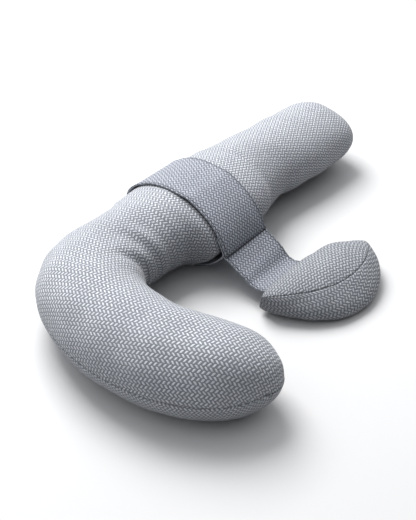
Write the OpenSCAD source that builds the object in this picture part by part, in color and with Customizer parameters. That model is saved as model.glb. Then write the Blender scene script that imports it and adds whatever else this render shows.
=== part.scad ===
// Nursing pillow: a hook-shaped tube cushion with a strap that wraps its long arm
// and carries a small half-moon headrest.
// The long arm runs along +Y, the opening and the headrest face +X, and +Z is up.
// The origin is the centre of the footprint, on the surface that the pillow rests on.

/* [Main cushion] */
// Length of the straight long arm, from the bend to its tip
arm_run = 624; // [560:4:660]
// Length of the short hooked arm along its centreline
hook_run = 347; // [300:1:380]
// Radius of the centreline at the tight bend
bend_r = 123; // [110:1:140]
// Angle turned in the tight bend
bend_angle = 68; // [55:1:75]
// Radius of the centreline along the hooked arm
hook_r = 253; // [220:1:300]
// Height of the cover's side seam above the surface
seam_z = 74; // [66:1:80]
// Thickness of the knitted cover
cover_t = 2; // [1.2:0.1:2.5]
// Thickness of the inner liner
liner_t = 1; // [0.6:0.1:1.2]

/* [Wrap band and strap] */
// Width of the band and of the strap along the arm
band_w = 113; // [90:1:125]
// Distance from the bend to the band's front edge
band_y = 130; // [110:1:140]
// Thickness of each of the band's two layers
layer_t = 1.6; // [1:0.1:1.8]
// Thickness of the hook tape and of the loop tape
tape_t = 1; // [0.6:0.1:1.2]

/* [Headrest] */
// Half of the headrest's length
head_half = 127; // [115:1:135]
// Half of the headrest's width
head_w = 64; // [56:1:68]
// Half of the headrest's thickness
head_h = 34; // [30:1:38]
// Roll of the headrest, its outer side down
head_roll = 17; // [8:1:20]

/* [Zip] */
// Distance from the bend to the near end of the zip
zip_y = 305; // [300:1:320]
// Length of the zip along the arm's outer seam
zip_run = 224; // [180:4:228]
// Pitch of the teeth on one tape
tooth_pitch = 4; // [3:0.5:5]

/* [Hidden] */

bend_run = bend_r * bend_angle * PI / 180;
bend_end = hook_run + bend_run;
run = bend_end + arm_run;
around = 20;          // points round the main tube
fill_gap = 1;         // room between the liner and the filling
liner_in = 5;         // depth of the liner below the cover's face
rise = 4.5;           // height of the arm's underside above the surface, where the band passes
sink = 10;            // how far the headrest's uncut underside may dip below the surface
under_h = seam_z + 8; // half-height of the lower half
clear = 0.9;          // gap between the band and the arm
big = 2000;

// Half-widths and the height above the seam, along the centreline from the hooked end
outer_w = [[0, 61], [174, 84], [347, 97], [421, 109], [494, 100], [680, 118], [1118, 80]];
inner_w = [[0, 88], [174, 90], [347, 83], [470, 72], [640, 93], [1118, 93]];
upper_h = [[0, 72], [220, 84], [347, 84], [494, 72], [640, 75], [760, 75], [1118, 58]];
near_cap = 134;       // length of the rounded hooked end
far_cap = 72;         // length of the rounded far end
cap_power = 2.4;      // fullness of both rounded ends

function mix(a, b, t) = a + (b - a) * t;
// A table's value, with its corners rounded over 80 mm
function soft(table, s) =
    (lookup(s - 40, table) + lookup(s - 20, table) + lookup(s, table)
    + lookup(s + 20, table) + lookup(s + 40, table)) / 5;
function swell(x, length, power) =
    x <= 0 ? 0 : x >= length ? 1 : pow(1 - pow(1 - x / length, power), 1 / power);

// Heading of the centreline, its point and the direction to its outer side
function heading(s) =
    s >= bend_end ? 90
    : s >= hook_run ? 90 + (bend_end - s) / bend_r * 180 / PI
    : 90 + bend_angle + (hook_run - s) / hook_r * 180 / PI;
function side(s) = [-sin(heading(s)), cos(heading(s))];
hook_centre = (bend_r - hook_r) * side(hook_run);
function middle(s) =
    s >= bend_end ? [-bend_r, s - bend_end]
    : s >= hook_run ? bend_r * side(s)
    : hook_centre + hook_r * side(s);

// Height of the underside: level with the surface, and raised where the band passes
function underside(s) =
    rise * min(1, max(0, min((s - bend_end - 30) / 40, (bend_end + 360 - s) / 40)));

// A point of the tube, at the angle a from the outer side, in from the face by depth
function tube_point(s, a, depth) =
    let (
        k = swell(s - depth, near_cap, cap_power) * swell(run - depth - s, far_cap, cap_power),
        w = (soft(cos(a) > 0 ? outer_w : inner_w, s) - depth) * k,
        h = ((sin(a) > 0 ? soft(upper_h, s) : under_h) - depth) * k,
        p = middle(s) + side(s) * w * cos(a)
    )
    [p.x, p.y, max(underside(s) + depth, seam_z + h * sin(a))];

// Stations along a run with rounded ends
function stations(length, near, far, depth, caps, middles) = concat(
    [for (j = [0 : caps - 1]) depth + near * (1 - cos(90 * j / caps))],
    [for (j = [0 : middles]) mix(depth + near, length - depth - far, j / middles)],
    [for (j = [caps - 1 : -1 : 0]) length - depth - far * (1 - cos(90 * j / caps))]);
function tube_stations(depth) = stations(run, near_cap, far_cap, depth, 6, 27);

// Closed rings swept from pole to pole. The first and last rings are single points.
function pole_index(i, j, n, m) = i == 0 ? 0 : i == n - 1 ? 1 + (n - 2) * m : 1 + (i - 1) * m + j % m;
function quad(a, b, c, d) = [for (t = [[a, b, c], [a, c, d]])
    if (t[0] != t[1] && t[1] != t[2] && t[2] != t[0]) t];
module sweep(rings) {
    n = len(rings);
    m = len(rings[1]);
    points = [for (i = [0 : n - 1]) each (i == 0 || i == n - 1 ? [rings[i][0]] : rings[i])];
    faces = [for (i = [0 : n - 2]) for (j = [0 : m - 1])
        each quad(pole_index(i, j, n, m), pole_index(i + 1, j, n, m),
            pole_index(i + 1, j + 1, n, m), pole_index(i, j + 1, n, m))];
    polyhedron(points, faces, convexity = 10);
}

// A shell between two swept part-rings, open between its first and its last point
function shell_index(i, j, n, m) = i == 0 ? 0 : i == n - 1 ? 1 + (n - 2) * m : 1 + (i - 1) * m + j;
module shell(outer, inner) {
    n = len(outer);
    m = len(outer[1]);
    count = 2 + (n - 2) * m;
    points = concat(
        [for (i = [0 : n - 1]) each (i == 0 || i == n - 1 ? [outer[i][0]] : outer[i])],
        [for (i = [0 : n - 1]) each (i == 0 || i == n - 1 ? [inner[i][0]] : inner[i])]);
    skins = [for (i = [0 : n - 2]) for (j = [0 : m - 2])
        let (a = shell_index(i, j, n, m), b = shell_index(i + 1, j, n, m),
            c = shell_index(i + 1, j + 1, n, m), d = shell_index(i, j + 1, n, m))
        each concat(quad(a, b, c, d), quad(count + a, count + d, count + c, count + b))];
    edges = [for (i = [0 : n - 2])
        let (a = shell_index(i, 0, n, m), b = shell_index(i + 1, 0, n, m),
            c = shell_index(i, m - 1, n, m), d = shell_index(i + 1, m - 1, n, m))
        each concat(quad(a, count + a, count + b, b), quad(c, d, count + d, count + c))];
    polyhedron(points, concat(skins, edges), convexity = 10);
}

function tube_rings(depth, from, to, parts) =
    [for (s = tube_stations(depth)) [for (j = [0 : parts]) tube_point(s, mix(from, to, j / parts), depth)]];
module tube_shell(depth, thick, from, to, parts)
    shell(tube_rings(depth, from, to, parts), tube_rings(depth + thick, from, to, parts));

// Headrest: a half-moon roll, its centreline bowed, u running from -1 to 1 along +Y
head_x = 171;
head_y = 237;
head_slant = 22;
head_bow = 41;
head_z = 31;
head_rise = 0.25;     // how slowly its thickness falls towards the tips
top_seam = 75;        // angle of the seam on its crest
strap_seam = 200;     // angle of the seam that holds the strap
head_around = 18;
function head_point(u, a, depth) =
    let (
        k = pow(max(0, 1 - pow(abs(u), 1.8)), 0.6),
        w = (head_w - depth) * k,
        h = (head_h - depth) * pow(k, head_rise) * (abs(u) < 1 ? 1 : 0),
        grow = 1 - depth / head_half,
        c = [head_x + head_slant * u - head_bow * u * u, head_y + (head_half * grow) * u],
        t = [head_slant - 2 * head_bow * u, head_half],
        out = [t.y, -t.x] / norm(t),
        x = w * cos(a) * cos(head_roll) + h * sin(a) * sin(head_roll),
        z = h * sin(a) * cos(head_roll) - w * cos(a) * sin(head_roll),
        p = c + out * x
    )
    [p.x, p.y, max(depth > 0 ? depth : -sink, head_z + z)];
function head_stations() = [for (j = [0 : 20]) let (v = -1 + j / 10) sign(v) * (1 - pow(1 - abs(v), 1.5))];
function head_rings(depth, from, to, parts) =
    [for (u = head_stations()) [for (j = [0 : parts]) head_point(u, mix(from, to, j / parts), depth)]];
module head_shell(depth, thick, from, to, parts)
    shell(head_rings(depth, from, to, parts), head_rings(depth + thick, from, to, parts));

// Band section, in the XZ plane of the long arm
band_out = 119;       // half-width on the outer side
band_top = 78;        // height above the seam
flap_start = [-80, seam_z + band_top];
flap_pull = [-10, 132];
flap_end = [13, 68];
under_pull = [-38, 2.5];
under_end_x = -88;
tab_gap = 2 * layer_t + 2 * tape_t + 0.4;
function curve(a, b, c, t) = a * (1 - t) * (1 - t) + b * 2 * t * (1 - t) + c * t * t;
function flap_mid(t) = curve(flap_start, flap_pull, flap_end, t);
// A path moved to its left by d, with mitred corners
function along(p, i) = let (v = p[min(len(p) - 1, i + 1)] - p[max(0, i)]) v / max(0.001, norm(v));
function moved(p, d) = [for (i = [0 : len(p) - 1])
    let (a = along(p, max(0, i - 1)), b = along(p, min(i, len(p) - 2)), v = a + b)
    p[i] + [-v.y, v.x] / norm(v) * d * 2 / norm(v)];
function strip(p, from, to) =
    concat(moved(p, from), [for (q = [1 : len(p)]) moved(p, to)[len(p) - q]]);
module strap_piece(p, from, to, y, width)
    translate([0, y + width, 0]) rotate([90, 0, 0]) linear_extrude(width) polygon(strip(p, from, to));

flap_path = [for (j = [0 : 16]) flap_mid(0.02 + 0.98 * j / 16)];
tab_path = moved([for (j = [0 : 5]) flap_mid(0.7 + 0.3 * j / 5)], -tab_gap);
apex = tab_path[5];
floor_line = rise - clear - layer_t;
under_path = [for (j = [1 : 10]) curve(apex, under_pull, [under_end_x, floor_line], j / 10)];
function band_ring(a) = [
    -bend_r + band_out * cos(a),
    max(floor_line, seam_z + (sin(a) > 0 ? band_top : under_h + clear + layer_t) * sin(a))];
band_path = concat(tab_path, under_path, [for (a = [-100 : -10 : -270]) band_ring(a)], [flap_start]);
strap_path = [[16, 61], [34, 51], [52, 41], [70, 35], [92, 34]];

// Everything is drawn about the bend's centre, then moved so that the footprint is centred
all_points = concat([for (r = tube_rings(0, 0, 360, around)) each r]);
left_x = min(min([for (p = all_points) p.x]), -bend_r - band_out - layer_t);
right_x = max([for (p = all_points) p.x]);
low_y = min([for (p = all_points) p.y]);
high_y = max([for (p = all_points) p.y]);
centre = [(left_x + right_x) / 2, (low_y + high_y) / 2];
module placed() translate([-centre.x, -centre.y, 0]) children();
module above_surface() difference() {
    children();
    translate([-big / 2, -big / 2, -big]) cube(big);
}

// Zip frame: its +Y runs along the arm's outer seam, and its +X goes into the cushion
function seam_edge(y) = tube_point(bend_end + y, 0, 0);
zip_from = seam_edge(zip_y);
zip_to = seam_edge(zip_y + zip_run);
zip_slant = atan2(zip_to.x - zip_from.x, zip_to.y - zip_from.y);
slot_h = 6;
tape_x = 4.2;
tape_low = 3.7;       // height of the tape's lower edge above the seam
teeth = floor((zip_run - 12) / tooth_pitch);
slider_len = 14;
slider_y = zip_run - slider_len - 6;
module on_zip() translate([zip_from.x, zip_from.y, seam_z]) rotate([0, 0, -zip_slant]) children();
module zip_slot() on_zip() translate([-10, 0, -slot_h]) cube([14, zip_run, 2 * slot_h]);
module zip_tape() on_zip() translate([tape_x, -6, tape_low]) cube([0.5, zip_run + 12, 5]);
module tooth_row(start) on_zip()
    for (i = [0 : teeth - 1]) translate([1.2, 6 + start + i * tooth_pitch, 0.4]) cube([1.8, 1.5, 2.6]);
module flipped() translate([0, 0, 2 * seam_z]) mirror([0, 0, 1]) children();

module main_top_panel() color("lightsteelblue") placed()
    difference() {
        tube_shell(0, cover_t, 0.05, 180 - 0.05, around / 2);
        zip_slot();
    }
module main_bottom_panel() color("lightsteelblue") placed()
    difference() {
        tube_shell(0, cover_t, 360 - 0.05, 180 + 0.05, around / 2);
        zip_slot();
    }
module main_liner() color("white") placed()
    tube_shell(liner_in, liner_t, -179, 179, around);
module main_filling() color("whitesmoke") placed()
    sweep([for (r = tube_rings(liner_in + liner_t + fill_gap, 0, 360, around))
        [for (j = [0 : around - 1]) r[j]]]);
module zip_tape_upper() color("slategray") placed() zip_tape();
module zip_tape_lower() color("slategray") placed() flipped() zip_tape();
module zip_teeth_upper() color("gainsboro") placed() tooth_row(0);
module zip_teeth_lower() color("gainsboro") placed() flipped() tooth_row(tooth_pitch / 2);
module zip_stops() color("silver") placed() on_zip()
    for (y = [1, zip_run - 4]) translate([1.2, y, -3]) cube([1.1, 3, 6]);
module zip_slider() color("silver") placed() on_zip() translate([0, slider_y, 0]) {
    difference() {
        union() {
            translate([-0.6, 0, -4]) cube([1.6, slider_len, 8]);
            translate([0, 1, -0.25]) cube([4.2, slider_len - 2, 0.5]);
            translate([3.9, 1, -3.4]) cube([0.7, slider_len - 2, 6.8]);
            translate([-3.4, 4, -1.2]) cube([3, 6, 2.4]);
        }
        translate([-2.2, 7, -2]) cylinder(d = 1.6, h = 4, $fn = 24);
    }
}
module zip_pull() color("silver") placed() on_zip() translate([0, slider_y, 0]) {
    translate([-2.2, 7, -2.2]) cylinder(d = 1.4, h = 4.4, $fn = 24);
    for (z = [-3.4, 1.9]) translate([-2.9, -14, z]) cube([1.4, 21.7, 1.5]);
    difference() {
        translate([-2.9, -22, -3.4]) cube([1.4, 9, 6.8]);
        translate([-3.5, -18, 0]) rotate([0, 90, 0]) cylinder(d = 3, h = 3, $fn = 24);
    }
}
module band_outer() color("slategray") placed()
    strap_piece(band_path, 0, layer_t, band_y, band_w);
module band_lining() color("lightslategray") placed()
    strap_piece(band_path, 0, -layer_t, band_y, band_w);
module loop_tape() color("dimgray") placed()
    strap_piece([for (j = [0 : 4]) tab_path[j]], layer_t, layer_t + tape_t, band_y + 4, band_w - 8);
module flap_outer() color("slategray") placed()
    strap_piece(flap_path, 0, layer_t, band_y, band_w);
module flap_lining() color("lightslategray") placed()
    strap_piece(flap_path, 0, -layer_t, band_y, band_w);
module hook_tape() color("dimgray") placed()
    strap_piece([for (j = [12 : 15]) flap_path[j]], -layer_t, -layer_t - tape_t, band_y + 4, band_w - 8);
module strap_outer() color("slategray") placed()
    strap_piece(strap_path, 0, layer_t, band_y, band_w);
module strap_lining() color("lightslategray") placed()
    strap_piece(strap_path, 0, -layer_t, band_y, band_w);
module head_top_panel() color("lightsteelblue") placed()
    head_shell(0, cover_t, top_seam + 0.1, strap_seam - 0.1, head_around / 2);
module head_bottom_panel() color("lightsteelblue") placed()
    above_surface() head_shell(0, cover_t, strap_seam + 0.1, 360 + top_seam - 0.1, head_around / 2 + 3);
module head_liner() color("white") placed()
    head_shell(cover_t + 1, liner_t, strap_seam + 1, strap_seam + 359, head_around);
module head_filling() color("whitesmoke") placed()
    sweep([for (r = head_rings(cover_t + liner_t + 1 + fill_gap, 0, 360, head_around))
        [for (j = [0 : head_around - 1]) r[j]]]);

main_top_panel();
main_bottom_panel();
main_liner();
main_filling();
zip_tape_upper();
zip_tape_lower();
zip_teeth_upper();
zip_teeth_lower();
zip_stops();
zip_slider();
zip_pull();
band_outer();
band_lining();
loop_tape();
flap_outer();
flap_lining();
hook_tape();
strap_outer();
strap_lining();
head_top_panel();
head_bottom_panel();
head_liner();
head_filling();
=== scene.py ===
"""Looks of the nursing pillow: a knitted hook-shaped cushion, its wrap band and strap, and its headrest."""

import math

import bpy
import numpy as np
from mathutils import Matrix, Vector


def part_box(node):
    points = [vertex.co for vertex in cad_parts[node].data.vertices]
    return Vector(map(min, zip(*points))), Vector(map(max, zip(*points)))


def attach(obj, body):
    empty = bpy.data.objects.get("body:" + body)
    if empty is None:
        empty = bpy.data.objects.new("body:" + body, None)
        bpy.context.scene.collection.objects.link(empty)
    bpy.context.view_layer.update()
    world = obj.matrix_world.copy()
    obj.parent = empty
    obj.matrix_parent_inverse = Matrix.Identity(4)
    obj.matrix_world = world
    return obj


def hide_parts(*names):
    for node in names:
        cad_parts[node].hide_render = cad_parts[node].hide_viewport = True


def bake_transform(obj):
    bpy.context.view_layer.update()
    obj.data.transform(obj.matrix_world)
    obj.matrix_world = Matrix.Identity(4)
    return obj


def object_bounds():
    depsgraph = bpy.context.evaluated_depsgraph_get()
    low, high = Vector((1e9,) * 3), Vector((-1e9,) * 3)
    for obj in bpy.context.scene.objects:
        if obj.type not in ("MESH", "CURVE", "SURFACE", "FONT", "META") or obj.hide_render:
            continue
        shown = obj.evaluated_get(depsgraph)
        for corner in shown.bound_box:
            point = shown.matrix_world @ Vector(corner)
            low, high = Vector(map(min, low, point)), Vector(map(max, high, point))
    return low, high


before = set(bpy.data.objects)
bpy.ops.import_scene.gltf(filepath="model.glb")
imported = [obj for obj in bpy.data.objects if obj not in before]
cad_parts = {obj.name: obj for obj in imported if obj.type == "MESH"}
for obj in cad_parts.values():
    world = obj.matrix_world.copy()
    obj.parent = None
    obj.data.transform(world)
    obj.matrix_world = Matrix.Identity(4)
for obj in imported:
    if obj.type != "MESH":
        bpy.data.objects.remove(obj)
cad_low, cad_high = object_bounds()

# ---------------------------------------------------------------- driving dimensions, in metres
ARM_RUN = 0.624
HOOK_RUN = 0.347
BEND_R = 0.123
BEND_ANGLE = math.radians(68)
HOOK_R = 0.253
SEAM_Z = 0.074
BAND_W = 0.113
BAND_Y = 0.130
LAYER = 0.0016
TAPE, TAPE_INSET = 0.001, 0.004
COVER_THICK = 0.0016
HEAD_HALF = 0.127
HEAD_W = 0.064
HEAD_H = 0.034
HEAD_ROLL = math.radians(17)
ZIP_Y = 0.305
ZIP_RUN = 0.224

BEND_END = HOOK_RUN + BEND_R * BEND_ANGLE
RUN = BEND_END + ARM_RUN
UNDER_H = SEAM_Z + 0.008
RISE = 0.0045
NEAR_CAP, FAR_CAP, CAP_POWER = 0.134, 0.072, 2.4
ARM_SLOPE, LOW_SLOPE = 1.2, 1.28
BAND_FILL = .037

# Half-widths and the height above the seam, along the centreline from the hooked end
OUTER_W = ((0, .061), (.174, .084), (.347, .099), (.421, .117), (.494, .103), (.680, .118), (1.118, .080))
INNER_W = ((0, .095), (.174, .098), (.347, .089), (.450, .077), (.560, .080), (.700, .083), (.830, .082),
           (.890, .093), (.980, .105), (1.118, .105))
UPPER_H = ((0, .072), (.220, .084), (.347, .084), (.494, .072), (.640, .075), (.760, .075), (1.118, .058))

# The headrest's place about the bend's centre, and its section
HEAD_X, HEAD_Y, HEAD_Z = 0.171, 0.237, 0.031
HEAD_SLANT, HEAD_BOW, HEAD_RISE = 0.022, 0.041, 0.25
TOP_SEAM, STRAP_SEAM = math.radians(75), math.radians(200)

# Band section about the bend's centre, in the XZ plane
BAND_OUT, BAND_TOP = 0.119, 0.078
FLAP_START, FLAP_PULL, FLAP_END = (-.080, SEAM_Z + BAND_TOP), (-.010, .132), (.013, .068)
UNDER_PULL, UNDER_END_X = (-.038, .0025), -.088
TAB_FROM, TAB_GAP = 0.7, 2 * LAYER + 2 * TAPE + 0.0004
CLEAR = 0.0009
FLOOR_LINE = RISE - CLEAR - LAYER

# Where the bend's centre is in the row frame
CENTRE = np.array([
    -BEND_R - BAND_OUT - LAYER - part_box("band_outer")[0].x,
    ARM_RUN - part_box("main_top_panel")[1].y,
])
# Direction of the knit's rows in each panel as it was cut, and its curve then as a share of the sewn one's
MAIN_ROWS, MAIN_CUT = math.radians(3), 0.76
HEAD_TOP_ROWS, HEAD_TOP_CUT = math.radians(12), 1.0
HEAD_LOW_ROWS, HEAD_LOW_CUT = math.radians(108), 0.25

# The knit's dashes, as shares of their length and of a row: lean along the row, half-length and half-width
DASH_LEAN, DASH_HALF, ROW_HALF = 0.54, 0.27, 0.46
# The strip's hem: from the edge to its stitches and to its inner fold, and half a stitch's length
HEM_LINE, HEM_FOLD, STITCH = .0036, .0066, .0022
# How far the knit looks for its painted shade, and how dark that painted shade is
SHADE_REACH, SHADE = 0.28, 0.66

# Cushions: depths of the liner bag and the filling inside the face, how tight the filling is, and the cloth
# simulation's slack, growth and furthest move
MAIN_INSIDE, MAIN_TIGHT, MAIN_SWELL = (.0055, .0085), 0.9, (.003, .005, .006)
HEAD_INSIDE, HEAD_TIGHT, HEAD_SWELL = (.0036, .0056), 0.85, (.002, .006, .004)
PRESSURE, FRAMES = 4.0, 20
# Columns of points round each cushion, and the column of its second seam; the first seam is column 0
MAIN_AROUND, INNER_SEAM = 48, 27
HEAD_AROUND = 40
HEAD_SEAM = round((TOP_SEAM + 2 * math.pi - STRAP_SEAM) / (2 * math.pi) * HEAD_AROUND)
# How far each panel's edge draws back from the zip, in columns
ZIP_OPEN = .41
# Points across a strip's face, and a length that is next to nothing
STRIP_POINTS, TINY = 26, 1e-9


# ---------------------------------------------------------------- camera, light and floor
def place_camera():
    azimuth, elevation, distance = math.radians(41.65), math.radians(40.96), 1.575
    aim_x, aim_y, aim_height = -0.0231, -0.0995, 0.070
    middle_of_box = (cad_low + cad_high) / 2
    aim = middle_of_box + Vector((aim_x, aim_y, aim_height - middle_of_box.z))
    back = Vector((
        math.sin(azimuth) * math.cos(elevation),
        -math.cos(azimuth) * math.cos(elevation),
        math.sin(elevation),
    ))
    camera = bpy.data.objects.new("camera", bpy.data.cameras.new("camera"))
    camera.data.lens = 60.98
    camera.data.clip_end = 50
    camera.location = aim + back * distance
    camera.rotation_mode = "QUATERNION"
    camera.rotation_quaternion = (-back).to_track_quat("-Z", "Y")
    bpy.context.scene.collection.objects.link(camera)
    bpy.context.scene.camera = camera


def area_light(name, place, size, power, colour):
    light = bpy.data.objects.new(name, bpy.data.lights.new(name, "AREA"))
    light.data.size = size
    light.data.energy = power
    light.data.color = colour
    light.location = place
    light.rotation_mode = "QUATERNION"
    light.rotation_quaternion = (-Vector(place)).to_track_quat("-Z", "Y")
    bpy.context.scene.collection.objects.link(light)


def light_studio():
    world = bpy.data.worlds.new("studio")
    world.use_nodes = True
    nodes, links = world.node_tree.nodes, world.node_tree.links
    facing = nodes.new("ShaderNodeVectorMath")
    facing.operation = "DOT_PRODUCT"
    facing.inputs[1].default_value = Vector((-0.58, 0.14, 0.79)).normalized()
    links.new(nodes.new("ShaderNodeTexCoord").outputs["Generated"], facing.inputs[0])
    wash = nodes.new("ShaderNodeMapRange")
    for socket, value in zip(list(wash.inputs)[1:], (-0.05, 1.0, 0.02, 1.1)):
        socket.default_value = value
    links.new(facing.outputs["Value"], wash.inputs["Value"])
    links.new(wash.outputs[0], nodes["Background"].inputs["Strength"])
    nodes["Background"].inputs["Color"].default_value = (0.97, 0.98, 1.0, 1)
    bpy.context.scene.world = world
    area_light("key", (-1.10, 0.22, 1.88), 1.3, 56, (1.0, 0.99, 0.98))
    bpy.context.scene.view_settings.view_transform = "Standard"


# ---------------------------------------------------------------- material building
class Tree:
    """A material's nodes, with short calls for the ones used here."""

    def __init__(self, name):
        self.material = bpy.data.materials.new(name)
        self.material.use_nodes = True
        self.nodes = self.material.node_tree.nodes
        self.links = self.material.node_tree.links
        self.shader = self.nodes["Principled BSDF"]

    def put(self, socket, value):
        if isinstance(value, bpy.types.NodeSocket):
            self.links.new(value, socket)
        elif value is not None:
            socket.default_value = value

    def math(self, operation, a, b=None, c=None):
        node = self.nodes.new("ShaderNodeMath")
        node.operation = operation
        for socket, value in zip(node.inputs, (a, b, c)):
            self.put(socket, value)
        return node.outputs[0]

    def step(self, value, low, high, to_low=0.0, to_high=1.0):
        node = self.nodes.new("ShaderNodeMapRange")
        node.interpolation_type = "SMOOTHSTEP"
        for socket, x in zip(node.inputs, (value, low, high, to_low, to_high)):
            self.put(socket, x)
        return node.outputs[0]

    def mix(self, share, a, b):
        node = self.nodes.new("ShaderNodeMix")
        node.data_type = "RGBA"
        self.put(node.inputs["Factor"], share)
        self.put(node.inputs[6], a)
        self.put(node.inputs[7], b)
        return node.outputs[2]

    def attribute(self, name):
        node = self.nodes.new("ShaderNodeAttribute")
        node.attribute_name = name
        return node.outputs["Vector"]

    def place(self):
        return self.nodes.new("ShaderNodeTexCoord").outputs["Object"]

    def parts(self, vector):
        node = self.nodes.new("ShaderNodeSeparateXYZ")
        self.put(node.inputs[0], vector)
        return node.outputs

    def vector(self, x, y):
        node = self.nodes.new("ShaderNodeCombineXYZ")
        for socket, value in zip(node.inputs, (x, y)):
            self.put(socket, value)
        return node.outputs[0]

    def noise(self, vector, scale, detail=2.0, rough=0.5):
        node = self.nodes.new("ShaderNodeTexNoise")
        self.put(node.inputs["Vector"], vector)
        node.inputs["Scale"].default_value = scale
        node.inputs["Detail"].default_value = detail
        node.inputs["Roughness"].default_value = rough
        return node.outputs["Fac"]

    def speckle(self, x, y):
        """A random number for each whole x and y."""
        node = self.nodes.new("ShaderNodeTexWhiteNoise")
        node.noise_dimensions = "2D"
        self.put(node.inputs["Vector"], self.vector(x, y))
        return node.outputs["Value"]

    def painted_shade(self, colour, reach, share):
        """The colour with painted shade: darker where the surface is turned in or close to the ground."""
        node = self.nodes.new("ShaderNodeAmbientOcclusion")
        node.samples = 8
        node.inputs["Distance"].default_value = reach
        closed = self.math("MULTIPLY", self.math("SUBTRACT", 1.0, node.outputs["AO"]), share)
        return self.mix(closed, colour, (0, 0, 0, 1))

    def bump(self, height, distance, strength=1.0):
        node = self.nodes.new("ShaderNodeBump")
        node.inputs["Strength"].default_value = strength
        node.inputs["Distance"].default_value = distance
        self.put(node.inputs["Height"], height)
        return node.outputs["Normal"]

    def finish(self, colour, rough, normal=None, sheen=0.0, metallic=0.0):
        self.put(self.shader.inputs["Base Color"], colour)
        self.put(self.shader.inputs["Roughness"], rough)
        self.put(self.shader.inputs["Normal"], normal)
        self.shader.inputs["Sheen Weight"].default_value = sheen
        self.shader.inputs["Sheen Roughness"].default_value = 0.45
        self.shader.inputs["Metallic"].default_value = metallic
        return self.material


def herringbone(name, dash, row, ground, yarn, relief, hemmed=0):
    """Knit of short raised dashes in rows that lean one way and then the other, with stitched hems on a strip."""
    t = Tree(name)
    weave = t.attribute("weave")
    wobble = t.math("MULTIPLY", t.math("SUBTRACT", t.noise(weave, 60), 0.5), 0.35)
    u, v = t.parts(weave)[0:2]
    across_rows = t.math("ADD", t.math("DIVIDE", v, row), wobble)
    row_number = t.math("FLOOR", across_rows)
    in_row = t.math("SUBTRACT", t.math("FRACT", across_rows), 0.5)
    odd = t.math("FLOORED_MODULO", row_number, 2.0)
    lean = t.math("MULTIPLY", t.math("MULTIPLY_ADD", odd, 2.0, -1.0), in_row)
    along = t.math("ADD", t.math("DIVIDE", u, dash), t.math("MULTIPLY", lean, DASH_LEAN))
    along = t.math("ADD", t.math("ADD", along, t.math("MULTIPLY", odd, 0.5)), wobble)
    in_dash = t.math("SUBTRACT", t.math("FRACT", along), 0.5)
    wide = t.math("POWER", t.math("ABSOLUTE", t.math("DIVIDE", in_dash, DASH_HALF)), 3.0)
    tall = t.math("POWER", t.math("ABSOLUTE", t.math("DIVIDE", in_row, ROW_HALF)), 5.0)
    reach = t.math("ADD", wide, tall)
    raised = t.math("SQRT", t.math("MAXIMUM", t.math("SUBTRACT", 1.0, reach), 0.0))
    share = t.step(reach, 1.15, 0.5)
    fibre = t.noise(weave, 900, 3.0, 0.7)
    each = t.speckle(t.math("FLOOR", along), row_number)
    tone = t.math("ADD", t.math("MULTIPLY", each, 0.16), t.math("MULTIPLY", fibre, 0.20))
    patch = t.noise(t.place(), 9.0, 3.0)
    light = t.mix(t.math("ADD", tone, t.math("MULTIPLY", patch, 0.25)), yarn, ground)
    dark = t.mix(t.math("MULTIPLY", fibre, 0.35), ground, yarn)
    height = t.math("ADD", t.math("MULTIPLY", raised, 0.85), t.math("MULTIPLY", fibre, 0.15))
    colour = t.mix(share, dark, light)
    if hemmed:
        edge = hemmed / 2
        out = t.math("ABSOLUTE", t.math("SUBTRACT", u, edge))
        line = t.step(t.math("ABSOLUTE", t.math("SUBTRACT", out, edge - HEM_LINE)), .0013, .0007)
        stitch = t.math("MULTIPLY", line, t.step(t.math("PINGPONG", v, STITCH), .0007, .0011))
        height = t.math("ADD", height, t.step(out, edge - HEM_FOLD, edge - .0052, 0.0, 0.5))
        height = t.math("SUBTRACT", height, line)
        # painted shade along the hem's sunk stitch line and in its stitches
        stitch_shade = t.math("ADD", t.math("MULTIPLY", stitch, 0.45), t.math("MULTIPLY", line, 0.4))
        colour = t.mix(stitch_shade, colour, [c * 0.4 for c in ground[:3]] + [1])
    # painted shade: the knit's colour darkened where it is turned in or close to the ground
    colour = t.painted_shade(colour, SHADE_REACH, SHADE)
    return t.finish(colour, 0.92, t.bump(height, relief, 0.9), sheen=0.15)


def plain_cloth(name, pitch, dark, light, relief):
    """Plain weave of fine threads over and under each other."""
    t = Tree(name)
    x, y = t.parts(t.attribute("weave"))[0:2]
    turn = 2 * math.pi / pitch
    warp = t.math("SINE", t.math("MULTIPLY", x, turn))
    weft = t.math("SINE", t.math("MULTIPLY", y, turn))
    height = t.math("MULTIPLY_ADD", t.math("MULTIPLY", warp, weft), 0.5, 0.5)
    fibre = t.noise(t.attribute("weave"), 1200, 2.0)
    share = t.math("ADD", t.math("MULTIPLY", height, 0.6), t.math("MULTIPLY", fibre, 0.4))
    return t.finish(t.mix(share, dark, light), 0.9, t.bump(height, relief, 0.8), sheen=0.2)


def felted(name, scale, dark, light, relief):
    """A mat of fibres, loops or hooks."""
    t = Tree(name)
    coarse = t.noise(t.place(), scale, 4.0, 0.65)
    fine = t.noise(t.place(), scale * 4, 3.0, 0.7)
    height = t.math("ADD", t.math("MULTIPLY", coarse, 0.6), t.math("MULTIPLY", fine, 0.4))
    share = t.step(height, 0.3, 0.7)
    return t.finish(t.mix(share, dark, light), 0.95, t.bump(height, relief), sheen=0.25)


def hard(name, colour, rough, scratch, metallic=0.0):
    """Moulded plastic or brushed metal, with fine wear."""
    t = Tree(name)
    grain = t.noise(t.place(), 700, 3.0)
    worn = t.noise(t.place(), 90, 2.0)
    dull = [c * 0.72 for c in colour[:3]] + [1]
    shade = t.mix(t.math("MULTIPLY", worn, 0.5), colour, dull)
    roughness = t.math("MULTIPLY_ADD", grain, scratch, rough)
    return t.finish(shade, roughness, t.bump(grain, 0.00005, 0.4), metallic=metallic)


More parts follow.
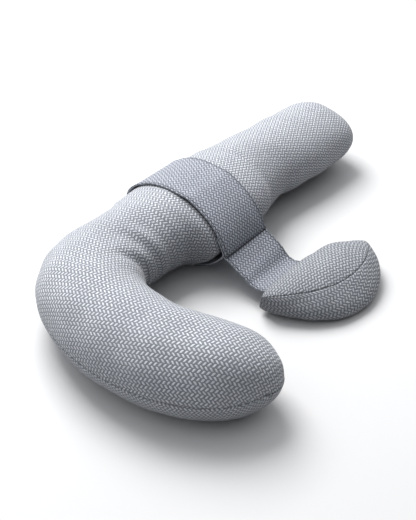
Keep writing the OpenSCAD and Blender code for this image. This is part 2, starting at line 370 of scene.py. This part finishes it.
COVER = herringbone("cover_knit", .0071, .0064, (.094, .106, .134, 1), (.90, .927, .985, 1), .0013)
# the headrest's knit is the cover's knit with darker colours: painted shade for the headrest's weaker light
HEADREST_SHADED = herringbone("headrest_knit_shaded", .0071, .0064, (.070, .080, .101, 1), (.71, .735, .785, 1), .0013)
BAND = herringbone("band_knit", .0070, .0062, (.058, .067, .098, 1), (.67, .705, .78, 1), .0011, BAND_W)
LINING = plain_cloth("band_lining_cloth", .0016, (.30, .32, .37, 1), (.50, .53, .59, 1), .0003)
COTTON = plain_cloth("liner_cotton", .0011, (.78, .78, .76, 1), (.92, .92, .90, 1), .0002)
FIBRE = felted("fibre_fill", 260, (.80, .80, .79, 1), (.95, .95, .94, 1), .002)
HOOKS = felted("hook_tape_hooks", 900, (.16, .17, .20, 1), (.42, .44, .48, 1), .0008)
LOOPS = felted("loop_tape_loops", 420, (.20, .21, .25, 1), (.48, .50, .55, 1), .0008)
ZIP_CLOTH = plain_cloth("zip_tape_cloth", .0012, (.20, .22, .26, 1), (.38, .40, .46, 1), .0003)
TEETH = hard("zip_teeth_nylon", (.62, .64, .68, 1), 0.35, 0.15)
METAL = hard("zip_metal", (.72, .73, .75, 1), 0.28, 0.2, metallic=1.0)


def build_floor():
    mesh = bpy.data.meshes.new("floor")
    far, gap = 16.0, 0.0005
    mesh.from_pydata([(-far, -far, 0), (far, -far, 0), (far, far, 0), (-far, far, 0)], [], [(0, 1, 2, 3)])
    floor = bpy.data.objects.new("floor", mesh)
    floor.location.z = -gap
    t = Tree("floor_white")
    grey = t.mix(t.math("MULTIPLY", t.noise(t.place(), 2.0), 0.3), (.76, .765, .77, 1), (.73, .735, .74, 1))
    mesh.materials.append(t.finish(grey, 0.9))
    bpy.context.scene.collection.objects.link(floor)


# ---------------------------------------------------------------- numbers and curves
def mix(a, b, t):
    """From a, where t is 0, to b, where t is 1."""
    return a + (b - a) * t


def smooth(x, low, high):
    """A soft step from 0 at low to 1 at high, which may be the lower of the two."""
    t = np.clip((x - low) / (high - low), 0, 1)
    return t * t * (3 - 2 * t)


def soft(table, s):
    """A table's value, with its corners rounded."""
    table = np.array(table)
    return sum(np.interp(s + d, table[:, 0], table[:, 1]) for d in (-.04, -.02, 0, .02, .04)) / 5


def swell(x, length):
    """The rounding of an end: 0 at the end itself, and 1 from length on."""
    x = np.clip(x / length, 0, 1)
    return (1 - (1 - x) ** CAP_POWER) ** (1 / CAP_POWER)


def heading(s):
    """The centreline's direction in plan."""
    bend = math.pi / 2 + (BEND_END - s) / BEND_R
    hook = math.pi / 2 + BEND_ANGLE + (HOOK_RUN - s) / HOOK_R
    return np.where(s >= BEND_END, math.pi / 2, np.where(s >= HOOK_RUN, bend, hook))


def left_of(angle):
    """Unit vectors in plan, a quarter turn left of a direction."""
    return np.stack([-np.sin(angle), np.cos(angle)], -1)


def side(s):
    """Direction to the outer side of the centreline, in plan."""
    return left_of(heading(s))


HOOK_CENTRE = (BEND_R - HOOK_R) * side(np.array(HOOK_RUN))


def middle(s):
    """The centreline's point, about the bend's centre."""
    arm = np.stack([np.full_like(s, -BEND_R), s - BEND_END], -1)
    return np.where((s >= BEND_END)[..., None], arm,
                    np.where((s >= HOOK_RUN)[..., None], BEND_R * side(s), HOOK_CENTRE + HOOK_R * side(s)))


def underside(s):
    """Height of the cushion's lowest line, which the band's cloth lifts off the ground."""
    return RISE * np.clip(np.minimum((s - BEND_END - .03) / .04, (BEND_END + .36 - s) / .04), 0, 1)


def slope(a, high, low=1):
    """Cosine and sine, flattened to slopes over the outer shoulder and under the inner side."""
    x, y = np.cos(a), np.sin(a)
    power = np.where((x > 0) & (y > 0), high, np.where((x < 0) & (y < 0), low, 1))
    return np.sign(x) * np.abs(x) ** power, np.sign(y) * np.abs(y) ** power


def filling_out(s):
    """How much wider the filling makes the inner side where the band's apex holds it."""
    y = s - BEND_END
    return BAND_FILL * smooth(y, .090, .128) * smooth(y, .390, .250) * mix(1, .8, smooth(y, .15, .24))


def tube(s, a, filled=1):
    """The cushion's face at distance s along it and angle a from its outer side."""
    k = swell(s, NEAR_CAP) * swell(RUN - s, FAR_CAP)
    w = np.where(np.cos(a) > 0, soft(OUTER_W, s), soft(INNER_W, s) + filled * filling_out(s)) * k
    h = np.where(np.sin(a) > 0, soft(UPPER_H, s), UNDER_H) * k
    arm = smooth(s, .36, .52)
    x, y = slope(a, mix(1, ARM_SLOPE, arm), mix(1, LOW_SLOPE, arm))
    plan = middle(s) + side(s) * (w * x)[..., None]
    z = np.maximum(underside(s), SEAM_Z + h * y)
    return np.concatenate([plan, z[..., None]], -1)


def head(u, a):
    """The headrest's face at u from -1 to 1 along it and angle a from its outer side."""
    k = np.maximum(0, 1 - np.abs(u) ** np.where(u > 0, 2.35, 1.8)) ** 0.6
    w = np.where(np.cos(a) > 0, HEAD_W - .006 + .017 * smooth(u, -.9, 0) - .005 * smooth(u, .2, .8),
                 HEAD_W + .004 + .006 * smooth(u, .1, .7)) * k
    h = HEAD_H * k ** HEAD_RISE * (np.abs(u) < 1)
    c = head_middle(np.where(u > 0, 0.95 * u, u))
    x = w * np.cos(a) * math.cos(HEAD_ROLL) + h * np.sin(a) * math.sin(HEAD_ROLL)
    z = h * np.sin(a) * math.cos(HEAD_ROLL) - w * np.cos(a) * math.sin(HEAD_ROLL)
    plan = c + head_side(u) * x[..., None]
    z = HEAD_Z + z - .003 * smooth(u, .55, 1)
    return np.concatenate([plan, np.maximum(0, z)[..., None]], -1)


def head_middle(u):
    """The headrest's centreline in plan, about the bend's centre."""
    x = HEAD_X + HEAD_SLANT * u - HEAD_BOW * u * u
    return np.stack([x, HEAD_Y + HEAD_HALF * u], -1)


def head_heading(u):
    """The direction of the headrest's centreline in plan."""
    return np.arctan2(HEAD_HALF, HEAD_SLANT - 2 * HEAD_BOW * u)


def head_side(u):
    """Direction to the headrest's outer side, in plan."""
    return -left_of(head_heading(u))


def sample(rows, at, closed=False):
    """Rows of values at fractional row numbers, on a smooth curve through them."""
    n = len(rows)
    i = np.floor(at).astype(int)
    t = (at - i).reshape((-1,) + (1,) * (rows.ndim - 1))
    index = [(i + k) % n if closed else np.clip(i + k, 0, n - 1) for k in (-1, 0, 1, 2)]
    a, b, c, d = (rows[k] for k in index)
    return 0.5 * (2 * b + (c - a) * t + (2 * a - 5 * b + 4 * c - d) * t * t + (3 * b - a - 3 * c + d) * t ** 3)


def doubled(rings, along):
    """Twice as many rings on a smooth face through these, and each one's place along it."""
    number = np.arange(len(rings))
    at = np.arange(0, number[-1] + 1e-6, 0.5)
    fine = sample(rings, at)
    fine[0], fine[-1] = rings[0], rings[-1]
    return fine, np.interp(at, number, along)


def normals(grid):
    """Outward unit normals of a grid of rings."""
    along = np.gradient(grid, axis=0)
    around = np.gradient(grid, axis=1)
    n = np.cross(around, along)
    n /= np.maximum(np.linalg.norm(n, axis=-1, keepdims=True), TINY)
    n[0], n[-1] = n[1].mean(0), n[-2].mean(0)
    return n / np.maximum(np.linalg.norm(n, axis=-1, keepdims=True), TINY)


def lengths(points, axis=0):
    """Running length along an axis of a grid of points."""
    steps = np.linalg.norm(np.diff(points, axis=axis), axis=-1)
    start = np.zeros_like(np.take(steps, [0], axis))
    return np.concatenate([start, np.cumsum(steps, axis)], axis)


# ---------------------------------------------------------------- meshes
def new_object(name, points, faces, material, weave=None):
    """A mesh piece, with each point's place on the flat cloth for the weave."""
    mesh = bpy.data.meshes.new(name)
    mesh.from_pydata(np.asarray(points, float).tolist(), [], faces)
    mesh.materials.append(material)
    mesh.shade_smooth()
    if weave is not None:
        flat = np.zeros((len(points), 3), np.float32)
        flat[:, :2] = weave
        mesh.attributes.new("weave", "FLOAT_VECTOR", "POINT").data.foreach_set("vector", flat.ravel())
    piece = bpy.data.objects.new(name, mesh)
    bpy.context.scene.collection.objects.link(piece)
    return piece


def to_row(points):
    """From about the bend's centre to the row frame."""
    moved = np.array(points, float)
    moved[..., :2] -= CENTRE
    return moved


def pole_list(grid):
    """A grid whose first and last rows are single points, as one list."""
    return np.concatenate([grid[:1, 0], grid[1:-1].reshape(-1, grid.shape[-1]), grid[-1:, 0]])


def pole_number(i, j, n, m):
    """The place in that list of the point in row i and column j, of n rows and m columns."""
    return 0 if i == 0 else 1 + (n - 2) * m if i == n - 1 else 1 + (i - 1) * m + j


def pole_faces(n, m, closed, first=0, flip=False):
    """Faces between the points of such a list, as numbers counted from first."""
    faces = []
    for i in range(n - 1):
        for j in range(m if closed else m - 1):
            k = (j + 1) % m
            ring = [pole_number(i, j, n, m), pole_number(i, k, n, m),
                    pole_number(i + 1, k, n, m), pole_number(i + 1, j, n, m)]
            face = [first + v for v in dict.fromkeys(ring)]
            faces.append(face[::-1] if flip else face)
    return faces


def shell_object(name, outer, normal, thick, weave, material):
    """A cloth panel between two poles: its face, its back and the edges between them."""
    n, m = outer.shape[:2]
    back = outer - normal * thick
    back[..., 2] = np.maximum(back[..., 2], outer[..., 2].min() + thick * 0.5)
    count = 2 + (n - 2) * m
    faces = pole_faces(n, m, False) + pole_faces(n, m, False, count, True)
    for i in range(n - 1):
        for j, flip in ((0, False), (m - 1, True)):
            a, b = pole_number(i, j, n, m), pole_number(i + 1, j, n, m)
            edge = [a, b, b + count, a + count]
            faces.append(edge[::-1] if flip else edge)
    points = np.concatenate([pole_list(outer), pole_list(back)])
    flat = pole_list(weave)
    return new_object(name, to_row(points), faces, material, np.concatenate([flat, flat]))


def body_object(name, grid, depth, weave, material):
    """A closed stuffed body inside a face, in from it by depth."""
    inner = grid - normals(grid) * (depth + np.maximum(crease(grid), 0)[..., None])
    inner[0], inner[-1] = inner[0].mean(0), inner[-1].mean(0)
    inner[..., 2] = np.maximum(inner[..., 2], depth)
    n, m = inner.shape[:2]
    points = pole_list(inner)
    return new_object(name, to_row(points), pole_faces(n, m, True), material, pole_list(weave))


# ---------------------------------------------------------------- cloth simulation
def inflate(name, grid, pinned, growth):
    """The grid of rings as a closed cloth bag, blown up from inside with its seams held."""
    n, m = grid.shape[:2]
    bag = new_object(name, pole_list(grid), pole_faces(n, m, True), COVER)
    held = bag.vertex_groups.new(name="held")
    held.add([int(i) for i in np.flatnonzero(pole_list(pinned[..., None])[:, 0])], 1.0, "REPLACE")
    cloth = bag.modifiers.new("cloth", "CLOTH")
    settings = cloth.settings
    settings.quality = 6
    settings.mass = 0.3
    settings.tension_stiffness = settings.compression_stiffness = 18
    settings.shear_stiffness = 6
    settings.bending_stiffness = 0.6
    settings.use_pressure = True
    settings.uniform_pressure_force = PRESSURE
    settings.shrink_min = -growth
    settings.vertex_group_mass = "held"
    settings.effector_weights.gravity = 0
    cloth.collision_settings.use_collision = False
    cloth.point_cache.frame_end = FRAMES
    scene = bpy.context.scene
    for number in range(1, FRAMES + 1):
        scene.frame_set(number)
    blown = bag.evaluated_get(bpy.context.evaluated_depsgraph_get())
    points = np.zeros(len(blown.data.vertices) * 3)
    blown.data.vertices.foreach_get("co", points)
    points = points.reshape(-1, 3)
    bpy.data.objects.remove(bag)
    scene.frame_set(1)
    first, last = (np.repeat(points[[end]], m, 0)[None] for end in (0, -1))
    return np.concatenate([first, points[1:-1].reshape(n - 2, m, 3), last])


def limited(start, blown, cap):
    """No point moves further than cap."""
    move = blown - start
    far = np.linalg.norm(move, axis=-1, keepdims=True)
    return start + move * np.minimum(1, cap / np.maximum(far, TINY))


def calmed(move):
    """Movements evened out between neighbouring points of rings."""
    for _ in range(2):
        move = (np.roll(move, 1, 1) + 2 * move + np.roll(move, -1, 1)) / 4
        move[1:-1] = (move[:-2] + 2 * move[1:-1] + move[2:]) / 4
    return move


def normals_closed(grid):
    """Outward normals of rings that close on themselves."""
    wide = np.concatenate([grid[:, -2:], grid, grid[:, :2]], 1)
    return normals(wide)[:, 2:-2]


def swelled(name, face, low, seam, slack, growth, most):
    """A cushion's face swelled as stuffed cloth, with its two seams and its low points held."""
    held = low.copy()
    held[:, 0] = held[:, seam] = True
    start = np.where(held[..., None], face, face - normals_closed(face) * slack)
    blown = limited(face, inflate(name, start, held, growth), most)
    return face + calmed(blown - face)


# ---------------------------------------------------------------- main cushion
def cap_steps(length, count):
    """Distances from a rounded end, closest together next to it."""
    return length * (1 - np.cos(np.linspace(0, math.pi / 2, count + 1)))


def main_stations(per_cap, middles):
    """Distances along the cushion of its rings of points."""
    far_count = max(4, round(per_cap * FAR_CAP / NEAR_CAP * 1.3))
    return np.concatenate([
        cap_steps(NEAR_CAP, per_cap)[:-1],
        np.linspace(NEAR_CAP, RUN - FAR_CAP, middles),
        (RUN - cap_steps(FAR_CAP, far_count))[::-1][1:],
    ])


# Folds on the inside of the bend: both ends in plan about the bend's centre, depth and half-width
FOLDS = (
    ((-.040, .004), (-.086, -.060), .0062, .010),
    ((-.048, .022), (-.124, -.012), .0058, .011),
    ((-.058, .050), (-.134, .022), .0040, .011),
)


def crease(points):
    """Depth of the folds where the hook meets the long arm."""
    total = np.zeros(points.shape[:-1])
    for start, end, depth, width in FOLDS:
        run = np.subtract(end, start)
        length = np.linalg.norm(run)
        run = run / length
        off = points[..., :2] - start
        t = off @ run / length
        d = off @ np.array([-run[1], run[0]])  # above 0 on the hook's side
        fade = smooth(t, 1.1, 0.4) * smooth(t, -0.6, 0)
        valley = np.exp(-(d / width) ** 2)
        ridge = np.exp(-((d / width - 2.1) / 1.6) ** 2)
        total += fade * depth * (valley - .4 * ridge)
    return total


def lumps(points, seed, size, height):
    """Gentle unevenness of the filling."""
    draw = np.random.default_rng(seed)
    total = np.zeros(points.shape[:-1])
    for _ in range(9):
        wave = draw.normal(size=3)
        wave *= 2 * math.pi / size / np.linalg.norm(wave) * draw.uniform(0.6, 1.5)
        total += np.sin(points @ wave + draw.uniform(0, 2 * math.pi))
    return total / 3 * height


def pinch(points, place, reach, depth, folds):
    """A drawn-in seam end with small folds round it."""
    off = points - place
    far = np.linalg.norm(off, axis=-1)
    turn = np.arctan2(off[..., 2], off[..., 0] * 0.7 + off[..., 1] * 0.7)
    near = np.exp(-(far / reach) ** 2)
    return depth * np.exp(-(far / (reach * 0.45)) ** 2) + folds * near * np.cos(turn * 9) * smooth(far, 0, reach * .4)


def main_form():
    """The cushion's rings before its seams and folds, swelled as stuffed cloth, and their places along it."""
    s = main_stations(14, 84)
    a = np.arange(MAIN_AROUND) * 2 * math.pi / MAIN_AROUND
    stations, angles = np.meshgrid(s, a, indexing="ij")
    face = tube(stations, angles)
    low = face[..., 2] < underside(stations) + .002
    blown = swelled("main_bag", face, low, INNER_SEAM, *MAIN_SWELL)
    banded = (stations > BEND_END + .07) & (stations < BEND_END + .30)
    room = np.where(banded, 0.12, 1.0)[..., None]
    blown = face + (blown - face) * room
    blown[..., 2] = np.maximum(blown[..., 2], underside(stations))
    return blown, s


def panel_columns(first, last):
    """Column numbers across a panel, closer together along its two seams."""
    edge = np.array([0, .06, .14, .26, .43, .70])
    inner = np.arange(1, last - first - 1 + 1e-6, 0.5)
    return first + np.concatenate([edge, inner, (last - first) - edge[::-1]])


def eased(s, stations, turned):
    """How much further along the cloth each point lies because the swelling under the band lengthens its way."""
    extra = lengths(tube(stations, turned)) - lengths(tube(stations, turned, 0))
    extra -= extra[np.argmin(np.abs(s - BEND_END - .19))]
    y = s - BEND_END
    return extra * (smooth(y, -.04, .11) * smooth(y, .50, .30))[:, None]


def on_cloth(face, columns, turn, cut, rows, across, forward, extra=0):
    """Distances along the knit's rows and across them where each point lay on the cut cloth."""
    crest = int(np.argmin(np.abs(columns - (columns[0] + columns[-1]) / 2)))
    turn = math.pi / 2 + cut * (turn - math.pi / 2)
    far = lengths(face, 1)
    far = (far - far[:, [crest]]) * across
    steps = np.diff(lengths(face[:, crest])) * forward
    between = (turn[1:] + turn[:-1]) / 2
    walk = np.cumsum(steps[:, None] * np.stack([np.cos(between), np.sin(between)], -1), axis=0)
    line = np.concatenate([[[0, 0]], walk])
    plan = line[:, None] - line[len(line) // 2] + left_of(turn)[:, None] * far[..., None]
    plan = plan + np.stack([np.cos(turn), np.sin(turn)], -1)[:, None] * np.broadcast_to(extra, far.shape)[..., None]
    c, n = math.cos(rows), math.sin(rows)
    return np.stack([plan[..., 0] * c + plan[..., 1] * n, plan[..., 1] * c - plan[..., 0] * n], -1)


def seam_groove(columns, depth, reach):
    """How deep each column lies in the groove of the panel's seams."""
    gap = np.minimum(columns - columns[0], columns[-1] - columns)
    return depth * np.exp(-(gap / reach) ** 2)


def build_main():
    fine, s = doubled(*main_form())
    corner, heel = tube(np.array([.034, RUN - .026]), np.array([0, INNER_SEAM * 2 * math.pi / MAIN_AROUND]))
    bulge, bulge_reach = .0045, .022
    # Drawn-in seam ends: place, reach, depth and the height of their small folds
    gathers = (
        (fine[0, 0], .030, .004, .0012),
        (fine[-1, 0], .022, .003, .0008),
        (corner, .018, .0032, .0014),
    )
    panels = []
    for name, first, last in (("top", 0, INNER_SEAM), ("bottom", INNER_SEAM, MAIN_AROUND)):
        columns = panel_columns(first, last)
        opened, tucked = zip_lips(s, columns, first == 0)
        grid = open_columns(fine, columns, opened)
        normal = open_columns(normals_closed(fine), columns, opened)
        stations, turned = np.meshgrid(s, columns * 2 * math.pi / MAIN_AROUND, indexing="ij")
        drawn_in = crease(grid)
        for gather in gathers:
            drawn_in = drawn_in + pinch(grid, *gather)
        drawn_in -= bulge * np.exp(-(np.linalg.norm(grid - heel, axis=-1) / bulge_reach) ** 2)
        banded = smooth(stations, BEND_END + .05, BEND_END + .08) * smooth(stations, BEND_END + .32, BEND_END + .29)
        uneven = lumps(grid, 5, .085, .0011) * (1 - banded)
        pitch, height = .011, .0004
        pucker = np.cos(stations * 2 * math.pi / pitch + 2 * np.sin(stations * 40)) * height
        gap = np.minimum(columns - first, last - columns)
        uneven = uneven + pucker * np.exp(-(gap / .5) ** 2)
        groove = seam_groove(columns, .0017, .13) * (1 - opened.max(1, keepdims=True) / ZIP_OPEN)
        grid = pressed(grid, normal, drawn_in + uneven + groove + tucked, underside(s)[:, None])
        weave = on_cloth(tube(stations, turned), columns, heading(s), MAIN_CUT, MAIN_ROWS,
                         -1 if name == "top" else 1, 1, eased(s, stations, turned))
        piece = shell_object("main_cover_" + name, grid, normal, COVER_THICK, weave, COVER)
        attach(piece, "pillow")
        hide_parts(f"main_{name}_panel")
        panels.append((grid, weave))
    build_inside("main", "pillow", panels, MAIN_INSIDE)


def pressed(grid, normal, depth, ground):
    """A panel's face pressed in by depth, kept above the ground and closed at both ends."""
    grid = grid - normal * depth[..., None]
    grid[..., 2] = np.maximum(grid[..., 2], ground)
    grid[0], grid[-1] = grid[0].mean(0), grid[-1].mean(0)
    return grid


def build_inside(cushion, body, panels, depths):
    """The liner bag and the fibre filling inside a cushion's two panels."""
    whole, flat = (np.concatenate([part[:, :-1] for part in parts], 1) for parts in zip(*panels))
    keep = np.r_[4:whole.shape[0] - 4:2]
    every = np.r_[3:whole.shape[1]:2]
    for kind, node, cloth, depth in zip(("liner_bag", "fibre_fill"), ("liner", "filling"), (COTTON, FIBRE), depths):
        piece = body_object(f"{cushion}_{kind}", whole[keep][:, every], depth, flat[keep][:, every], cloth)
        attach(piece, body)
        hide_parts(f"{cushion}_{node}")


def open_columns(fine, columns, opened):
    """The panel's grid, each ring sampled at its own column numbers."""
    rings = [sample(ring, (columns + shift) % MAIN_AROUND, closed=True) for ring, shift in zip(fine, opened)]
    return np.array(rings)


def zip_lips(s, columns, upper):
    """How far each column moves off the seam along the zip, and how deep its edge tucks in."""
    y = s - BEND_END
    mask = smooth(y, ZIP_Y - .014, ZIP_Y - .002) * smooth(y, ZIP_Y + ZIP_RUN + .014, ZIP_Y + ZIP_RUN + .002)
    gap = columns - columns[0] if upper else columns[-1] - columns
    shift = ZIP_OPEN * np.clip(1 - gap / 1.5, 0, 1) * (1 if upper else -1)
    depth = np.interp(gap, (0, .06, .14, .26), (.0030, .0018, .0006, 0))
    return mask[:, None] * shift, mask[:, None] * depth


place_camera()
light_studio()
build_floor()
build_main()


# ---------------------------------------------------------------- headrest
def build_headrest():
    rings = 57
    v = np.linspace(1, -1, rings)
    u = np.sign(v) * (1 - (1 - np.abs(v)) ** 1.5)
    a = STRAP_SEAM + np.arange(HEAD_AROUND) * 2 * math.pi / HEAD_AROUND
    form = head(*np.meshgrid(u, a, indexing="ij"))
    form = swelled("head_bag", form, form[..., 2] < .001, HEAD_SEAM, *HEAD_SWELL)
    form[..., 2] = np.maximum(form[..., 2], 0)
    fine, fine_u = doubled(form, u)
    panels = []
    for name, first, last in (("bottom", 0, HEAD_SEAM), ("top", HEAD_SEAM, HEAD_AROUND)):
        columns = panel_columns(first, last)
        grid, normal = (np.array([sample(ring, columns % HEAD_AROUND, closed=True) for ring in table])
                        for table in (fine, normals_closed(fine)))
        along, turned = np.meshgrid(fine_u, STRAP_SEAM + columns * 2 * math.pi / HEAD_AROUND, indexing="ij")
        ends = pinch(grid, fine[-1, 0], .016, .002, .0007) + pinch(grid, fine[0, 0], .014, .001, .0004)
        uneven = lumps(grid, 8, .055, .0006)
        groove = seam_groove(columns, .0015, .12)
        grid = pressed(grid, normal, ends + uneven + groove, 0)
        cut, rows = (HEAD_TOP_CUT, HEAD_TOP_ROWS) if name == "top" else (HEAD_LOW_CUT, HEAD_LOW_ROWS)
        weave = on_cloth(head(along, turned), columns, head_heading(fine_u), cut, rows, 1, -1)
        piece = shell_object("head_cover_" + name, grid, normal, COVER_THICK, weave, HEADREST_SHADED)
        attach(piece, "headrest")
        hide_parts(f"head_{name}_panel")
        panels.append((grid, weave))
    build_inside("head", "headrest", panels, HEAD_INSIDE)


build_headrest()


# ---------------------------------------------------------------- band, flap and strap
# The two cloths of each: name, from and to above the path, material and slot
CLOTHS = (("outer", 0, LAYER, BAND, "band_fabric"), ("lining", -LAYER, 0, LINING, "band_lining"))


def bezier(a, b, c, t):
    """A curve from a to c that b pulls on."""
    a, b, c = (np.array(p) for p in (a, b, c))
    t = np.asarray(t)[:, None]
    return a * (1 - t) ** 2 + b * 2 * t * (1 - t) + c * t * t


def left(path):
    """Unit normals to the left of a path."""
    d = np.gradient(path, axis=0)
    d /= np.linalg.norm(d, axis=1, keepdims=True)
    return np.stack([-d[:, 1], d[:, 0]], 1)


def stepped(path, count):
    """A path as a number of evenly spaced points."""
    run = lengths(path)
    at = np.linspace(0, run[-1], count)
    return np.stack([np.interp(at, run, path[:, k]) for k in (0, 1)], 1)


def even(path, step, rounding=0):
    """A path at even steps, with its corners rounded."""
    path = stepped(path, max(2, round(lengths(path)[-1] / step) + 1))
    for _ in range(rounding):
        path[1:-1] = (path[:-2] + 2 * path[1:-1] + path[2:]) / 4
    return path


def slab_half(width, thick, across):
    """Half of a cloth layer's outline, from the middle of one edge over its face to the other."""
    r = thick / 2
    turn = np.linspace(0, math.pi / 2, 4)
    edge = np.stack([r - r * np.cos(turn), r * np.sin(turn)], 1)
    face = np.stack([np.linspace(r, width - r, across)[1:-1], np.full(across - 2, r)], 1)
    other = edge[::-1] * [-1, 1] + [width, 0]
    return np.concatenate([edge, face, other])


def strip(name, near, far, low, high, material, lift=None, width=BAND_W, y=BAND_Y, part=None):
    """A layer of cloth along part of a path that may differ at its two edges, from low to high above it."""
    half = slab_half(width, high - low, STRIP_POINTS)
    mid = (low + high) / 2
    ring_w = np.concatenate([half[:, 0], half[-2:0:-1, 0]])
    ring_d = np.concatenate([half[:, 1], -half[-2:0:-1, 1]])
    share = ring_w / width
    run = lengths(near)
    ends = np.minimum(run, run[-1] - run)
    thin = 0.35 + 0.65 * np.sqrt(np.clip(ends / .0012, 0, 1))
    part = part or slice(0, len(near))
    path = near[:, None] * (1 - share)[None, :, None] + far[:, None] * share[None, :, None]
    normal = left(near)[:, None] * (1 - share)[None, :, None] + left(far)[:, None] * share[None, :, None]
    rise = mid + ring_d[None] * thin[:, None]
    if lift is not None:
        rise = rise + lift(run[:, None] / run[-1], share[None], path)
    place = path + normal * rise[..., None]
    place, run = place[part], run[part]
    if part.stop < len(near):  # a ring next to a joined end keeps the shading even across the join
        place = np.insert(place, -1, mix(place[-2], place[-1], .985), 0)
        run = np.insert(run, -1, mix(run[-2], run[-1], .985))
    if part.start > 0:
        place = np.insert(place, 1, mix(place[1], place[0], .985), 0)
        run = np.insert(run, 1, mix(run[1], run[0], .985))
    ys = np.broadcast_to(y + ring_w[None], place.shape[:2])
    points = np.stack([place[..., 0], ys, place[..., 1]], -1)
    n, k = place.shape[:2]
    faces = [[i * k + j, (i + 1) * k + j, (i + 1) * k + (j + 1) % k, i * k + (j + 1) % k]
             for i in range(n - 1) for j in range(k)]
    for i, flip in ((0, False), (n - 1, True)):
        for j in range(len(half) - 1):
            pair = [i * k + j, i * k + j + 1, i * k + (k - j - 1) % k, i * k + (k - j) % k]
            pair = list(dict.fromkeys(pair))
            faces.append(pair[::-1] if flip else pair)
    sides = (n - 1) * k
    weave = np.stack([np.broadcast_to(ring_w[None], (n, k)), np.broadcast_to(run[:, None], (n, k))], -1)
    piece = new_object(name, to_row(points.reshape(-1, 3)), faces, material, weave.reshape(-1, 2))
    for end in piece.data.polygons[sides:]:
        end.use_smooth = False
    return piece


def flap_curve(t):
    """The flap's path, from the arm's top down to its end over the inner side."""
    return bezier(FLAP_START, FLAP_PULL, FLAP_END, t)


def band_curve():
    """The band's path: its tab, down to the apex, under the arm and up round its outer side."""
    tab = flap_curve(np.linspace(TAB_FROM, 1.0, 16))
    tab = tab - left(tab) * TAB_GAP
    under = bezier(tab[-1], UNDER_PULL, (UNDER_END_X, FLOOR_LINE), np.linspace(0, 1, 30)[1:])
    a = np.radians(np.linspace(-98, -270, 90))
    up = np.where(np.sin(a) > 0, BAND_TOP, UNDER_H + CLEAR + LAYER)
    x, y = slope(-math.pi - a, ARM_SLOPE)
    ring = np.stack([-BEND_R - BAND_OUT * x, np.maximum(FLOOR_LINE, SEAM_Z + up * y)], 1)
    return np.concatenate([tab, under, ring, [FLAP_START]])


def band_lift(t, share, path):
    """The band's front edge stands off the arm at its outer shoulder, and its edges wave a little."""
    shoulder = np.exp(-((path[..., 0] + .205) / .030) ** 2) * (path[..., 1] > SEAM_Z)
    front = np.exp(-(share / .16) ** 2)
    wave = .0005 * np.sin(t * 55 + 2) * np.exp(-(np.minimum(share, 1 - share) / .05) ** 2)
    return .001 * shoulder * front + wave


def build_wrap():
    whole = even(np.concatenate([band_curve(), flap_curve(np.linspace(0, 1, 60))[1:]]), .0035, 3)
    fold = int(np.argmin(np.linalg.norm(whole - FLAP_START, axis=1)))
    band, flap = whole[:fold + 1], whole[fold:]
    for name, low, high, cloth, slot in CLOTHS:
        piece = strip(f"band_{name}_cloth", whole, whole, low, high, cloth, band_lift, part=slice(0, fold + 1))
        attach(piece, "band")
        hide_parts(f"band_{name}")
        float(lengths(band)[-1])
    for name, low, high, cloth, slot in CLOTHS:
        piece = strip(f"flap_{name}_cloth", whole, whole, low, high, cloth, band_lift, part=slice(fold, len(whole)))
        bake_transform(piece)
        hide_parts(f"flap_{name}")
        float(lengths(flap)[-1])
    tab = flap_curve(np.linspace(TAB_FROM, 1.0, 20))
    tab = even(tab - left(tab) * TAB_GAP, .003)[:-1]
    tape = {"width": BAND_W - 2 * TAPE_INSET, "y": BAND_Y + TAPE_INSET}
    loops = strip("loop_tape_pile", tab, tab, LAYER, LAYER + TAPE, LOOPS, **tape)
    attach(loops, "band")
    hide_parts("loop_tape")
    float(lengths(tab)[-1])
    hooked = even(flap_curve(np.linspace(0.76, 0.96, 20)), .003)
    hooks = strip("hook_tape_hooks", hooked, hooked, -LAYER - TAPE, -LAYER, HOOKS, **tape)
    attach(hooks, "flap")
    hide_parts("hook_tape")
    float(lengths(hooked)[-1])


def spline(points, count):
    """A smooth path through some points."""
    rows = np.array(points)
    return sample(rows, np.linspace(0, len(rows) - 1, count))


def strap_lift(t, share, _):
    """Soft waves across the strap."""
    return .0016 * np.sin(t * 15 + .9 + share * .8) * np.sin(math.pi * t) ** 2


def build_strap():
    near = [(.0070, .0655), (.0150, .0615), (.034, .0535), (.053, .0430), (.071, .0360), (.092, .0355), (.116, .043)]
    far = [(.0070, .0655), (.0170, .0640), (.039, .0540), (.058, .0400), (.073, .0320), (.090, .0300), (.118, .043)]
    near, far = (stepped(spline(edge, 80), 44) for edge in (near, far))
    cut = int(np.argmin(np.abs(near[:, 0] - .062)))
    length = lengths(near)
    for name, low, high, cloth, slot in CLOTHS:
        layer = near, far, low, high, cloth, strap_lift
        piece = strip(f"strap_{name}_cloth", *layer, part=slice(0, cut + 1))
        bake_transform(piece)
        end = strip(f"strap_{name}_end", *layer, part=slice(cut, len(near)))
        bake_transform(end)
        for half, run, under in (
            (piece, length[cut], "band_outer_cloth"),
            (end, length[-1] - length[cut], "head_cover_top"),
        ):
            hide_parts(f"strap_{name}")


build_wrap()
build_strap()


# ---------------------------------------------------------------- zip
def finish_zip():
    for node, material in (
        ("zip_tape_upper", ZIP_CLOTH), ("zip_tape_lower", ZIP_CLOTH),
        ("zip_teeth_upper", TEETH), ("zip_teeth_lower", TEETH),
        ("zip_stops", METAL), ("zip_slider", METAL), ("zip_pull", METAL),
    ):
        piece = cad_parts[node]
        piece.data.materials.clear()
        piece.data.materials.append(material)
        if material is not ZIP_CLOTH:
            bevel = piece.modifiers.new("rounded", "BEVEL")
            bevel.width = .0003
            bevel.segments = 2
            bevel.limit_method = "ANGLE"


finish_zip()
